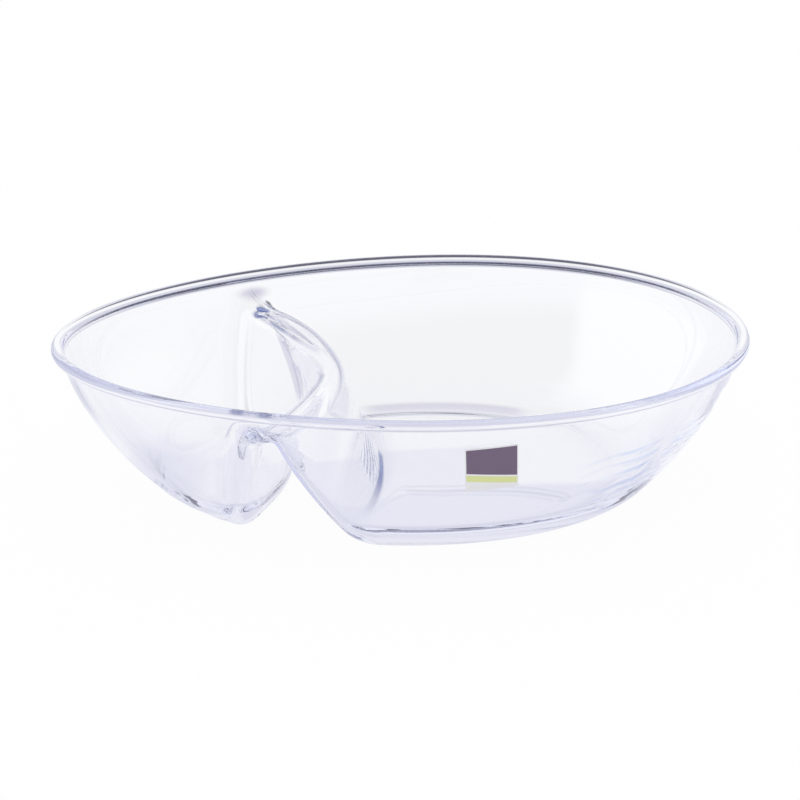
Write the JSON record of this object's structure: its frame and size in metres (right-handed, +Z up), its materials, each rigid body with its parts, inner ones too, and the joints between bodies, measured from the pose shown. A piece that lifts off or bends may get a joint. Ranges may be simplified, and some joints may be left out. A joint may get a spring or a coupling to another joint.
{
  "type": "divided serving bowl",
  "caption": "Clear plastic oval serving bowl, wider at one end, with a hollow moulded fold across it that parts off a dip compartment, and a small printed label on the front wall.",
  "frame": {"origin": "on the table under the middle of the rim", "axes": "+X towards the wide end, the main compartment; +Y to the back; +Z up. The front, with the label, is at -Y"},
  "size_m": [0.3552, 0.2414, 0.0821],
  "materials": {
    "clear_plastic": "clear, colourless with a faint blue-violet cast in the thick edges, polished",
    "printed_label": "smooth satin print, dark plum over a lime green band, with a white margin"
  },
  "bodies": {
    "root": {"bowl": "clear_plastic", "label": "printed_label"}
  },
  "joints": []
}
